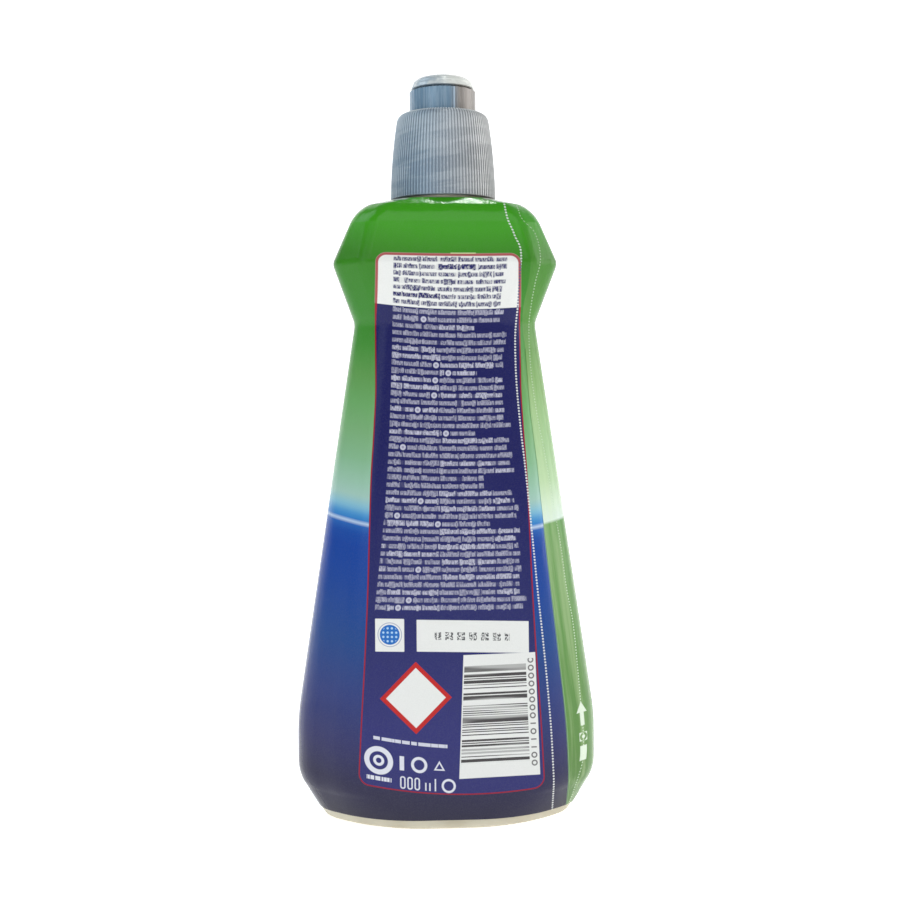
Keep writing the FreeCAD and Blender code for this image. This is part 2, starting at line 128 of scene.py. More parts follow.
class Finish:
    """A material whose colour, gloss and relief are worked out from the place on the piece."""

    def __init__(self, name, roughness=0.3, **sockets):
        self.material = bpy.data.materials.new(name)
        self.material.use_nodes = True
        self.tree = self.material.node_tree
        self.shader = self.tree.nodes["Principled BSDF"]
        self.shader.inputs["Roughness"].default_value = roughness
        for socket, value in sockets.items():
            self.shader.inputs[socket.replace("_", " ")].default_value = value
        place = self.tree.nodes.new("ShaderNodeTexCoord")
        in_mm = self.node("ShaderNodeVectorMath", operation="SCALE")
        self.tree.links.new(place.outputs["Object"], in_mm.inputs[0])
        in_mm.inputs["Scale"].default_value = 1 / MM
        split = self.tree.nodes.new("ShaderNodeSeparateXYZ")
        self.tree.links.new(in_mm.outputs[0], split.inputs[0])
        self.x, self.y, self.z = (Field(self, socket) for socket in split.outputs)

    def node(self, kind, **settings):
        made = self.tree.nodes.new(kind)
        for setting, value in settings.items():
            setattr(made, setting, value)
        return made

    def feed(self, socket, value):
        if isinstance(value, Field):
            value = value.socket
        if isinstance(value, bpy.types.NodeSocket):
            self.tree.links.new(value, socket)
        else:
            socket.default_value = value

    def maths(self, operation, first, second=0.0, third=0.0):
        node = self.node("ShaderNodeMath", operation=operation)
        for socket, value in zip(node.inputs, (first, second, third)):
            self.feed(socket, value)
        return Field(self, node.outputs[0])

    def step(self, value, low, high):
        """0 up to low, 1 from high on, and smooth between them. High may be below low."""
        node = self.node("ShaderNodeMapRange", interpolation_type="SMOOTHSTEP")
        for socket, number in zip(node.inputs[:5], (value, low, high, 0.0, 1.0)):
            self.feed(socket, number)
        return Field(self, node.outputs[0])

    def cover(self, distance, soft=0.08):
        """1 where a distance is below zero, and 0 past it."""
        return self.step(distance, soft, -soft)

    def curve(self, value, points, reach=PRINT_REACH, full=CURVE_FULL):
        """A smooth line through (value, result) points; values run to reach, results to full."""
        node = self.node("ShaderNodeFloatCurve")
        line = node.mapping.curves[0].points
        while len(line) < len(points):
            line.new(0.5, 0.5)
        for dot, (at, result) in zip(line, points):
            dot.location = (at / reach, result / full)
            dot.handle_type = "AUTO_CLAMPED"
        node.mapping.update()
        self.feed(node.inputs["Value"], value * (1 / reach))
        return Field(self, node.outputs[0]) * full

    def noise(self, across, along=0.0, up=0.0, detail=2.0, roughness=0.5):
        spot = self.node("ShaderNodeCombineXYZ")
        for socket, value in zip(spot.inputs, (across, along, up)):
            self.feed(socket, value)
        node = self.node("ShaderNodeTexNoise")
        self.feed(node.inputs["Vector"], spot.outputs[0])
        node.inputs["Scale"].default_value = 1.0
        node.inputs["Detail"].default_value = detail
        node.inputs["Roughness"].default_value = roughness
        return Field(self, node.outputs[0])

    def grain(self, across, along, up, **settings):
        """Noise with so many waves in a millimetre, along each axis of the piece."""
        return self.noise(self.x * across, self.y * along, self.z * up, **settings)

    def chance(self, first, second=0.0):
        """An even random number for each pair of whole numbers."""
        spot = self.node("ShaderNodeCombineXYZ")
        self.feed(spot.inputs[0], first)
        self.feed(spot.inputs[1], second)
        node = self.node("ShaderNodeTexWhiteNoise", noise_dimensions="2D")
        self.feed(node.inputs["Vector"], spot.outputs[0])
        return Field(self, node.outputs[0])

    def ramp(self, value, stops, reach=PRINT_REACH):
        """A colour for each height, blended between stops."""
        node = self.node("ShaderNodeValToRGB")
        line = node.color_ramp.elements
        while len(line) < len(stops):
            line.new(0.5)
        for stop, (at, colour) in zip(line, stops):
            stop.position = at / reach
            stop.color = colour
        self.feed(node.inputs["Fac"], value * (1 / reach))
        return node.outputs["Color"]

    def paint(self, under, over, amount, blend="MIX"):
        node = self.node("ShaderNodeMix", data_type="RGBA", blend_type=blend)
        self.feed(node.inputs[0], amount)
        self.feed(node.inputs[6], under)
        self.feed(node.inputs[7], over)
        return node.outputs[2]

    def colour(self, colour):
        self.feed(self.shader.inputs["Base Color"], colour)

    def roughness(self, value):
        self.feed(self.shader.inputs["Roughness"], value)

    def relief(self, height, depth):
        """Raise the surface by a height from 0 to 1, where 1 is a depth in millimetres."""
        node = self.node("ShaderNodeBump")
        node.inputs["Distance"].default_value = depth * MM
        self.feed(node.inputs["Height"], height)
        self.tree.links.new(node.outputs[0], self.shader.inputs["Normal"])

    def box(self, x, z, left, right, foot, top, corner=0.0):
        """Distance to an upright rectangle with rounded corners, below zero inside it."""
        half_width = (right - left) * 0.5
        half_height = (top - foot) * 0.5
        out_x = (x - (right + left) * 0.5).size() - (half_width - corner)
        out_z = (z - (top + foot) * 0.5).size() - (half_height - corner)
        past_x = out_x.most(0.0)
        past_z = out_z.most(0.0)
        past = (past_x * past_x + past_z * past_z).root()
        return past + out_x.most(out_z).least(0.0) - corner

    def disc(self, x, z, middle, radius):
        """Distance to a round spot, below zero inside it."""
        out_x = x - middle[0]
        out_z = z - middle[1]
        return (out_x * out_x + out_z * out_z).root() - radius

    def diamond(self, x, z, middle, reach):
        """Distance to a square that stands on its corner, below zero inside it."""
        out = (x - middle[0]).size() + (z - middle[1]).size()
        return (out - reach) * math.sqrt(0.5)


def wear(piece, finish):
    """Give a piece its finish, in place of any that it has."""
    piece.data.materials.clear()
    piece.data.materials.append(finish.material)


# ------------------------------------------------------------------ the sleeve's print

# Lines on the print, as (height, half width or place across) in millimetres.
PANEL_HALF_WIDTH = [(0, 28.0), (12, 27.5), (30, 26.6), (50, 25.4), (70, 24.4), (90, 23.7),
                    (103, 23.2), (118, 22.2), (132, 21.6), (150, 21.6), (166, 21.3), (230, 21.0)]
TEAR_LINE = [(0, 31.0), (22, 30.1), (35, 29.3), (56, 27.5), (68, 26.3), (87, 24.6), (107, 22.7),
             (117, 21.6), (134, 20.3), (142, 20.2), (153, 20.9), (164, 21.4), (168, 21.7),
             (174.5, 19.8), (182, 17.4), (230, 16.0)]
SIDE_LINE = [(0, 36.0), (11.5, 38.5), (21, 40.6), (36, 39.7), (45, 39.0), (59, 37.7), (69, 35.8),
             (84, 33.8), (93, 32.0), (103, 30.5), (132, 25.5), (146, 24.8), (153, 25.2),
             (160, 26.2), (168.5, 27.7), (175, 26.4), (181, 21.6), (230, 20.0)]
OVERLAP_LINE = [(0, 35.9), (10, 35.6), (29, 34.7), (52, 32.4), (71, 30.3), (89, 28.4),
                (107, 26.6), (122, 24.7), (141, 23.4), (150, 22.6), (166, 24.5), (186, 18.0),
                (230, 16.0)]
# How far the panel's small print reaches to the left and to the right.
ROWS_LEFT = [(0, 27.0), (64, 21.9), (83, 19.8), (103, 18.0), (130, 16.6), (166, 15.7),
             (230, 15.5)]
ROWS_RIGHT = [(0, 24.0), (64, 23.4), (110, 19.4), (150, 17.6), (168, 18.6), (230, 18.6)]
# How much the printed rows sag towards the middle, per square millimetre across.
SAG = [(0, 0.0038), (20, 0.0036), (45, 0.0020), (62, 0.0006), (90, 0.0012), (120, 0.0018),
       (152, 0.0026), (165, 0.0011), (172, 0.0005), (230, 0.0004)]
SAG_FULL = 0.01
# How much the green and the blue hang, in the same way, and where both are lowest.
COLOUR_SAG = 0.0028
PRINT_MIDDLE = 6.0

# The panel: its foot and top, its corners, its middle across, and the foot of its white head.
PANEL_FOOT = 10.4
PANEL_TOP = 168.8
PANEL_CORNER = 3.2
PANEL_MIDDLE = 0.35
HEAD_FOOT = 152.6
# Its red border: half its breadth, and the heights between which that doubles.
BORDER_HALF = 0.2
BORDER_BROADENS = (147.0, 158.0)
# Where the print slipped and left a sliver beside the border, as (left, right, foot, top).
SLIP = (1.0, 8.4, 168.7, 169.0)
# The rows of small print: how far they may reach, their pitch, and their first and last height.
ROWS_REACH = 30.0
HEAD_PITCH = 2.16
HEAD_ROWS = (153.0, 168.0)
BODY_PITCH = 2.215
BODY_ROWS = (63.9, 152.6)

# Small print that says nothing: the pitch of words and letters, and how far those drift.
WORD_PITCH = 5.4
WORD_DRIFT = 5.0
WORD_GAP = (0.44, 0.475)
LETTER_PITCH = 0.93
LETTER_TOP = 0.56
LONG_TOP = 0.3
LETTER_FOOT = 0.6
LONG_FOOT = 0.28
# How uneven the rows' right ends are, and how much shorter the short rows are.
RAGGED_BY = 2.4
SHORT_BY = 9.0
# The round spots among the words, and the bare place round each.
SPOT_RADIUS = 0.85
SPOT_HOLE = 0.4
SPOT_CLEAR = 1.25
SPOT_START = 0.9
SPOT_REACH = 16.0
# The share of rows with no spot and at full length, of letters with a short top and a short
# foot, and of words in light print.
NO_SPOT = 0.7
FULL_ROW = 0.84
SHORT_TOP = 0.62
SHORT_FOOT = 0.88
LIGHT_WORD = 0.8

# How far round the sleeve the strip and the panel's print reach, towards +Y.
STRIP_BACK = 9.0
PRINT_BACK = -3.0
# Heights between which the strip's painted streak reflections, the overlap's edge and the bare
# top edge fade.
STREAK_REFLECTIONS_FADE = (160.0, 120.0)
EDGE_FADE = (90.0, 86.0)
TOP_FADE = (185.0, 185.6)
TOP_ENDS = (10.5, 12.5)
GLOSSY_SHOULDER = (177.0, 181.0)
HOLE_PITCH = 0.86

# Generic marks in the panel's foot. Boxes are (left, right, foot, top).
MARKS_TILT = 0.028
SQUARE = (-21.75, -13.3, 52.2, 61.75)
DISC_MIDDLE = (-17.5, 57.1)
DISC_RADIUS = 2.9
DISC_RING = 0.55
DOT_PITCH = 1.25
DOT_RADIUS = 0.26
DATE_BOX = (-9.65, 23.25, 52.3, 61.55)
STAMP_PITCH = 3.5
STAMP_HEIGHT = 56.9
DIAMOND_MIDDLE = (-10.0, 39.1)
DIAMOND_REACH = 10.5
DIAMOND_LINE = 1.25
# Rings, as (middle, radius, half the line's breadth).
RINGS = [((-21.0, 18.6), 3.45, 0.75), ((-21.0, 18.6), 1.2, 0.4), ((-9.2, 18.7), 1.95, 0.42),
         ((-0.6, 13.0), 1.75, 0.32)]
BAR = (-14.9, -13.6, 16.6, 20.8)
# A row of three narrow rings, and of three short strokes as (middle, top).
NARROW_RINGS = (-14.0, -11.9, -9.8)
STROKES = ((-7.3, 13.6), (-6.1, 13.6), (-4.5, 14.9))

# The bar panel's four sides, each as (slope, place), and the lean of what it holds.
BARS_LEFT = (0.0416, 1.87)
BARS_RIGHT = (0.0335, 26.84)
BARS_TOP = (0.024, 51.2)
BARS_FOOT = (0.034, 15.1)
BARS_LEAN = 0.03
# The bars: their top, pitch and margins, and half their column's height about its middle.
FIRST_BAR = 48.2
BAR_PITCH = 0.302
BAR_MARGINS = (0.35, 2.9)
BAR_COLUMN = (33.8, 14.3)
# The loops beside them: first height, pitch, radius, half their line, and their column.
FIRST_LOOP = 17.6
LOOP_PITCH = 2.32
LOOP_RADIUS = 0.7
LOOP_LINE = 0.19
LOOP_COLUMN = (33.5, 15.9)

GREENS_TO_BLUES = [
    (0, ink(46, 44, 62)), (10, ink(45, 43, 72)), (22, ink(45, 47, 98)), (36, ink(40, 56, 118)),
    (52, ink(22, 66, 132)), (70, ink(14, 64, 146)), (80, ink(14, 64, 150)),
    (84, ink(20, 72, 156)), (86.7, ink(38, 98, 174)), (87.2, ink(186, 204, 226)),
    (87.6, ink(42, 112, 186)), (89.5, ink(66, 140, 196)), (92, ink(128, 182, 202)),
    (95, ink(156, 192, 180)), (99, ink(146, 188, 164)), (106, ink(128, 176, 136)),
    (114, ink(118, 168, 116)), (122, ink(104, 162, 98)), (131, ink(92, 150, 78)),
    (140, ink(66, 138, 54)), (150, ink(52, 128, 36)), (166, ink(50, 124, 20)),
    (176, ink(58, 150, 20)), (200, ink(54, 146, 18)),
]
STRIP_GREENS = [
    (0, ink(92, 126, 70)), (20, ink(88, 132, 62)), (50, ink(86, 136, 60)), (80, ink(84, 138, 60)),
    (87.6, ink(82, 140, 60)), (88.0, ink(204, 222, 210)), (93, ink(196, 218, 192)),
    (100, ink(168, 200, 154)), (112, ink(144, 184, 128)), (130, ink(118, 162, 90)),
    (146, ink(82, 138, 56)), (166, ink(66, 128, 40)), (178, ink(60, 146, 30)),
    (200, ink(54, 146, 20)),
]
NAVY = [(0, ink(48, 48, 108)), (30, ink(42, 44, 110)), (60, ink(30, 34, 98)),
        (110, ink(24, 26, 88)), (160, ink(24, 27, 86)), (230, ink(24, 27, 86))]
PAPER = ink(228, 229, 226)
RED = ink(158, 18, 26)
DIAMOND_RED = ink(188, 28, 26)
HEAD_INK = ink(26, 28, 92)
BODY_INK = ink(198, 198, 214)
MARKS_WHITE = ink(226, 228, 236)
DASHES_WHITE = ink(214, 216, 228)
ARROW_WHITE = ink(226, 238, 220)
HOLE_WHITE = ink(226, 228, 226)
# Painted shadow inside the tear holes where they cross the white head.
HOLE_SHADOW_NAVY = ink(74, 76, 120)
SIDE_HOLE_GREEN = ink(206, 228, 196)
# The pale green of the streaks of painted reflection on the strip.
STREAK_REFLECTION_GREEN = ink(206, 224, 176)
EDGE_GREEN = ink(150, 190, 140)
SLIP_GREEN = ink(214, 226, 170)
BARE_FILM = ink(222, 228, 214)
GRAIN_GREY = ink(128, 128, 128)
DISC_BLUE = ink(28, 104, 186)
DOT_BLUE = ink(170, 206, 232)
RING_BLUE = ink(120, 130, 170)
STAMP_GREY = ink(56, 56, 60)
BAR_BLACK = ink(52, 48, 50)
LOOP_GREY = ink(74, 70, 72)


def greeked_rows(finish, x, rows, pitch, left, right, seed):
    """Rows of uneven upright strokes that stand for small print, as an amount of ink."""
    row = rows.whole()
    up = (row - rows + 0.5) * pitch
    # A few rows hold a small round spot, clear of the strokes on both sides.
    marked = finish.chance(row, seed + 9).above(NO_SPOT)
    off = x - left - SPOT_START - finish.chance(row, seed + 7) * SPOT_REACH
    ring = (off * off + up * up).root()
    spot = finish.cover(ring - SPOT_RADIUS, 0.16) - finish.cover(ring - SPOT_HOLE, 0.16) * 0.5
    spot = spot * marked
    apart = 1.0 - finish.cover(off.size() - SPOT_CLEAR, SOFT) * marked
    ragged = finish.chance(row, seed) * RAGGED_BY
    end = right - ragged - finish.chance(row, seed + 5).above(FULL_ROW) * SHORT_BY
    drift = x + finish.noise(x * 0.3, row * 7.31, seed, detail=1.0) * WORD_DRIFT
    word = drift * (1 / WORD_PITCH)
    gap = finish.step((word - word.whole() - 0.5).size(), *WORD_GAP)
    build = finish.chance((drift * (1 / LETTER_PITCH)).whole(), row + seed)
    top = build.above(SHORT_TOP) * LONG_TOP + LETTER_TOP
    foot = build.above(SHORT_FOOT) * LONG_FOOT + LETTER_FOOT
    body = finish.cover(up - top, SOFT) * finish.cover(up * -1.0 - foot, SOFT)
    strokes = finish.noise(x * 2.4, row * 3.17 + seed, up * 0.9, detail=3.0, roughness=0.8)
    within = finish.cover(left - x, SOFT) * finish.cover(x - end, SOFT) * apart
    dense = finish.step(strokes, 0.36, 0.6) * 0.7 + 0.3
    # Three words at a time are printed light or heavy.
    light = finish.chance((word * 0.34).whole(), row + seed)
    heavy = light.above(LIGHT_WORD) * 0.26 + 0.66
    return (body * within * dense * heavy * (1.0 - gap * 0.85)).most(spot)


def sleeve_finish():
    """Glossy shrink film, printed green over blue, with the back panel and the tear lines."""
    film = Finish("sleeve_print", roughness=0.2, Specular_IOR_Level=0.22)
    x, y, z = film.x, film.y, film.z
    across = x - PRINT_MIDDLE
    bow = across * across
    # The colours hang in a shallow curve, on both wide faces.
    ground = film.ramp(z - bow * COLOUR_SAG, GREENS_TO_BLUES)
    strip = film.ramp(z - bow * COLOUR_SAG, STRIP_GREENS)
    past_overlap = x - film.curve(z, OVERLAP_LINE)
    on_strip = film.cover(past_overlap * -1.0, CRISP) * film.cover(y - STRIP_BACK, CRISP)
    colour = film.paint(ground, strip, on_strip)
    # Pale upright streaks of painted reflection run up the strip's green.
    streak_noise = film.noise(past_overlap * 0.4, y * 0.4, z * 0.01, detail=4.0, roughness=0.6)
    streaks = film.step(streak_noise, 0.42, 0.7) * on_strip * film.step(z, *STREAK_REFLECTIONS_FADE)
    colour = film.paint(colour, STREAK_REFLECTION_GREEN, streaks * 0.26)
    edge = film.cover(past_overlap.size() - 0.22, 0.12) * film.cover(y, 0.5)
    colour = film.paint(colour, EDGE_GREEN, edge * film.step(z, *EDGE_FADE) * 0.55)

    # Back panel: red border, white head and navy body, with rows that sag to the middle.
    printed = film.cover(y - PRINT_BACK, 0.5)
    level = z - film.curve(z, SAG, full=SAG_FULL) * bow
    half_width = film.curve(z, PANEL_HALF_WIDTH)
    panel = film.box(x - PANEL_MIDDLE, level, half_width * -1.0, half_width,
                     PANEL_FOOT, PANEL_TOP, corner=PANEL_CORNER)
    in_panel = film.cover(panel) * printed
    # The border is twice as broad round the white head, and slips a little off the print there.
    breadth = film.step(z, *BORDER_BROADENS) * BORDER_HALF + BORDER_HALF
    border = film.cover((panel + breadth).size() - breadth, CRISP) * printed
    slip = film.cover(film.box(x, level, *SLIP)) * printed
    in_head = film.cover(HEAD_FOOT - level, CRISP)
    body = film.paint(film.ramp(z, NAVY), PAPER, in_head)

    # Small print: seven rows in the head, forty in the body.
    left = film.curve(z, ROWS_LEFT) * -1.0
    right = film.curve(z, ROWS_RIGHT)
    head_rows = (HEAD_ROWS[1] - level) * (1 / HEAD_PITCH)
    head_text = greeked_rows(film, x, head_rows, HEAD_PITCH, left, right, seed=3.0)
    in_head_rows = film.box(x, level, -ROWS_REACH, ROWS_REACH, *HEAD_ROWS)
    body = film.paint(body, HEAD_INK, head_text * 1.5 * film.cover(in_head_rows))
    body_rows = (BODY_ROWS[1] - level) * (1 / BODY_PITCH)
    body_text = greeked_rows(film, x, body_rows, BODY_PITCH, left, right, seed=11.0)
    in_body_rows = film.box(x, level, -ROWS_REACH, ROWS_REACH, *BODY_ROWS)
    body = film.paint(body, BODY_INK, body_text * film.cover(in_body_rows) * 0.95)

    body = lower_marks(film, body, x, z, level)
    body = film.paint(body, RED, border * 0.9)
    colour = film.paint(colour, body, in_panel.most(border))
    colour = film.paint(colour, SLIP_GREEN, slip * 0.8)

    # Tear lines: two rows of small holes through the print.
    holes = hole_row(film, TEAR_LINE, stretch=1.0, radius=0.29) * printed
    side_holes = hole_row(film, SIDE_LINE, stretch=1.25, radius=0.24) * printed
    # In the white head the holes are painted navy grey as shadow inside them; elsewhere they show
    # the pale bottle.
    hole_bare_or_shadow = film.paint(HOLE_WHITE, HOLE_SHADOW_NAVY, in_head * in_panel)
    colour = film.paint(colour, hole_bare_or_shadow, holes * 0.85)
    side_ink = side_holes * (film.step(z, 90.0, 50.0) * 0.4 + 0.45)
    colour = film.paint(colour, SIDE_HOLE_GREEN, side_ink)
    arrow = tear_arrow(film, x, z) * printed
    colour = film.paint(colour, ARROW_WHITE, arrow * 0.9)

    # The film is cut bare at its top edge, which shows round the shoulder's ends.
    cut_edge = film.step(z, *TOP_FADE) * film.step(x.size(), *TOP_ENDS)
    colour = film.paint(colour, BARE_FILM, cut_edge * 0.85)

    # Print grain: a faint unevenness of the ink, and the film's drawn, slightly wavy skin.
    grain = film.grain(3.0, 3.0, 3.0, detail=2.0)
    colour = film.paint(colour, GRAIN_GREY, film.step(grain, 0.35, 0.75) * 0.05)
    film.colour(colour)
    drawn = film.grain(0.55, 0.55, 0.045, detail=3.0, roughness=0.6)
    ripple = film.grain(0.16, 0.16, 0.06, detail=1.0)
    skin = drawn * 0.45 + ripple * 0.4 + grain * 0.03 - holes.most(side_holes) * 0.35
    film.relief(skin, depth=0.16)
    # The shoulder was shrunk tightest and is the glossiest.
    dull = film.grain(0.2, 0.2, 0.03, detail=2.0) * 0.16 + 0.13
    film.roughness(dull * (1.0 - film.step(z, *GLOSSY_SHOULDER) * 0.5))
    return film


def hole_row(film, line, stretch, radius):
    """Round holes at an even pitch along a line that runs up the sleeve."""
    off = (film.x - film.curve(film.z, line)) * stretch
    turns = film.z * (1 / HOLE_PITCH)
    up = (turns - turns.whole() - 0.5) * HOLE_PITCH
    return film.cover((off * off + up * up).root() - radius, CRISP)


def tear_arrow(film, x, z):
    """A plain arrow up the side line, with two bare blocks under it, one cut by a ring."""
    off = (x - film.curve(z, SIDE_LINE)).size() * 1.1
    tip, shoulder, slope = 35.0, 31.8, 0.62
    head = film.cover(off + (z - tip).most(-9.0) * slope, CRISP) * film.cover(shoulder - z, CRISP)
    tail = film.cover(off - 0.75, CRISP) * film.cover((z - 29.9).size() - 2.0, CRISP)
    block = film.cover(off - 1.5, 0.12) * film.cover((z - 24.5).size() - 1.3, SOFT)
    ring = film.cover((film.disc(x, z, (40.6, 24.5), 0.9)).size() - 0.35, CRISP)
    low_block = film.cover(off - 1.3, 0.12) * film.cover((z - 19.6).size() - 2.2, SOFT)
    return head.most(tail).most(block - ring).most(low_block)


def lower_marks(film, body, x, z, level):
    """Generic marks in the foot of the panel: plain boxes, a diamond, rings and uneven bars."""
    tilt = z + x * MARKS_TILT
    # A small white square with a plain blue disc, filled with a grid of pale dots.
    body = film.paint(body, PAPER, film.cover(film.box(x, tilt, *SQUARE, corner=0.2)))
    disc = film.disc(x, tilt, DISC_MIDDLE, DISC_RADIUS)
    body = film.paint(body, DISC_BLUE, film.cover(disc))
    ring = film.cover((disc - DISC_RING).size() - 0.12, CRISP)
    body = film.paint(body, RING_BLUE, ring * 0.7)
    across = (x - DISC_MIDDLE[0]) * (1 / DOT_PITCH)
    up = (tilt - DISC_MIDDLE[1]) * (1 / DOT_PITCH)
    dot = film.disc(across - across.whole() - 0.5, up - up.whole() - 0.5, (0.0, 0.0), DOT_RADIUS)
    body = film.paint(body, DOT_BLUE, film.cover(disc + 0.4) * film.cover(dot))
    # A bare box for a date, with a few stamped dashes, two to a pair.
    body = film.paint(body, PAPER, film.cover(film.box(x, tilt, *DATE_BOX, corner=0.15)))
    pairs = (x + 5.4) * (1 / STAMP_PITCH)
    off_pair = ((pairs - pairs.whole() - 0.5) * STAMP_PITCH).size()
    stamped = film.cover((off_pair - 1.15).most(0.14 - off_pair))
    stamped = stamped * film.cover((tilt - STAMP_HEIGHT).size() - 1.15)
    stamped = stamped * film.cover((x - 6.6).size() - 11.0)
    specks = film.noise(x * 2.2, z * 1.8, 9.0)
    body = film.paint(body, STAMP_GREY, stamped * film.step(specks, 0.42, 0.52) * 0.95)
    # A bare white diamond in a red line.
    diamond = film.diamond(x, z, DIAMOND_MIDDLE, DIAMOND_REACH)
    body = film.paint(body, DIAMOND_RED, film.cover(diamond))
    body = film.paint(body, PAPER, film.cover(diamond + DIAMOND_LINE))
    # A row of dashes under it.
    row = film.cover((level + x * 0.03 - 24.6).size() - 0.5)
    dashes = film.noise(x * 1.5, 3.0).above(0.42) * film.cover((x + 11.7).size() - 10.8)
    body = film.paint(body, DASHES_WHITE, row * dashes * 0.9)
    body = small_marks(film, body, x, level)
    return bar_panel(film, body, x, z)


def small_marks(film, body, x, level):
    """Rings, a triangle, strokes and dashes in place of the small marks by the panel's foot."""
    marks = [film.cover(film.disc(x, level, middle, radius).size() - half_line, CRISP)
             for middle, radius, half_line in RINGS]
    marks.append(film.cover(film.box(x, level, *BAR, corner=0.1)))
    sides = ((x + 3.3).size() * 0.87 + (level - 20.6) * 0.5).most(17.3 - level)
    marks.append(film.cover((sides + 0.35).size() - 0.2, CRISP))
    under = film.cover((level - 13.2).size() - 0.6) * film.cover((x + 20.9).size() - 3.6)
    marks.append(under * film.noise(x * 1.6, 5.0).above(0.44))
    for middle in NARROW_RINGS:
        outline = film.box(x, level, middle - 0.8, middle + 0.8, 11.2, 14.9, corner=0.75)
        marks.append(film.cover((outline + 0.2).size() - 0.2, CRISP))
    for middle, top in STROKES:
        marks.append(film.cover(film.box(x, level, middle - 0.2, middle + 0.2, 11.3, top), CRISP))
    for mark in marks:
        body = film.paint(body, MARKS_WHITE, mark * 0.92)
    return body


def bar_panel(film, body, x, z):
    """A white panel of uneven bars that code nothing, beside a column of plain loops."""
    left_edge = z * BARS_LEFT[0] + BARS_LEFT[1]
    right_edge = BARS_RIGHT[1] - z * BARS_RIGHT[0]
    beyond = (left_edge - x).most(x - right_edge).most(z - x * BARS_TOP[0] - BARS_TOP[1])
    beyond = beyond.most(BARS_FOOT[1] + x * BARS_FOOT[0] - z)
    body = film.paint(body, PAPER, film.cover(beyond))
    lean = z - x * BARS_LEAN
    # Ninety-five even places, each inked or bare, and some of them worn pale.
    place = (FIRST_BAR - lean) * (1 / BAR_PITCH)
    inked = film.chance(place.whole(), 1.0) * 0.6 + film.chance((place * 0.5).whole(), 3.0) * 0.4
    inked = inked.above(0.47)
    in_bars = film.cover((left_edge - x + BAR_MARGINS[0]).most(x - right_edge + BAR_MARGINS[1]))
    in_bars = in_bars * film.cover((lean - BAR_COLUMN[0]).size() - BAR_COLUMN[1])
    rim_highlight = film.noise(x * 0.03, lean * 0.42, 7.0, detail=1.0)
    strength = film.step(rim_highlight, 0.36, 0.56) * 0.5 + 0.46
    body = film.paint(body, BAR_BLACK, inked * in_bars * strength)
    # The loops, about one in four of them a bare stroke.
    turn = (lean - FIRST_LOOP) * (1 / LOOP_PITCH)
    up = (turn - turn.whole() - 0.5) * LOOP_PITCH
    off = x - right_edge + 1.5
    loop = film.cover(((off * off + up * up).root() - LOOP_RADIUS).size() - LOOP_LINE, CRISP)
    stroke = film.cover(off.size() - 0.8, CRISP) * film.cover(up.size() - LOOP_LINE, CRISP)
    plain = film.chance(turn.whole(), 6.0).above(0.72)
    column = film.maths("MULTIPLY_ADD", stroke - loop, plain, loop)
    column = column * film.cover((lean - LOOP_COLUMN[0]).size() - LOOP_COLUMN[1])
    return film.paint(body, LOOP_GREY, column * 0.9)


# ------------------------------------------------------------------ the other finishes

def bottle_finish():
    """Natural blow-moulded polyethylene: milky, slightly waxy, with a fine orange peel."""
    natural = Finish("natural_polyethylene", roughness=0.4, Subsurface_Weight=0.25)
    natural.shader.inputs["Subsurface Radius"].default_value = (0.004, 0.0035, 0.0025)
    milky, waxy, scuffed = ink(204, 198, 178), ink(190, 182, 160), ink(168, 158, 138)
    cloud = natural.grain(0.08, 0.08, 0.08, detail=3.0)
    colour = natural.paint(milky, waxy, natural.step(cloud, 0.3, 0.7))
    scuff = natural.grain(1.6, 1.6, 2.4, detail=4.0, roughness=0.7)
    on_foot = natural.step(natural.z, 1.6, 0.2)
    colour = natural.paint(colour, scuffed, natural.step(scuff, 0.52, 0.7) * on_foot * 0.6)
    natural.colour(colour)
    natural.roughness(scuff * 0.2 + 0.27)
    peel = natural.grain(1.4, 1.4, 1.4, detail=2.0)
    natural.relief(peel + scuff * on_foot, depth=0.03)
    return natural


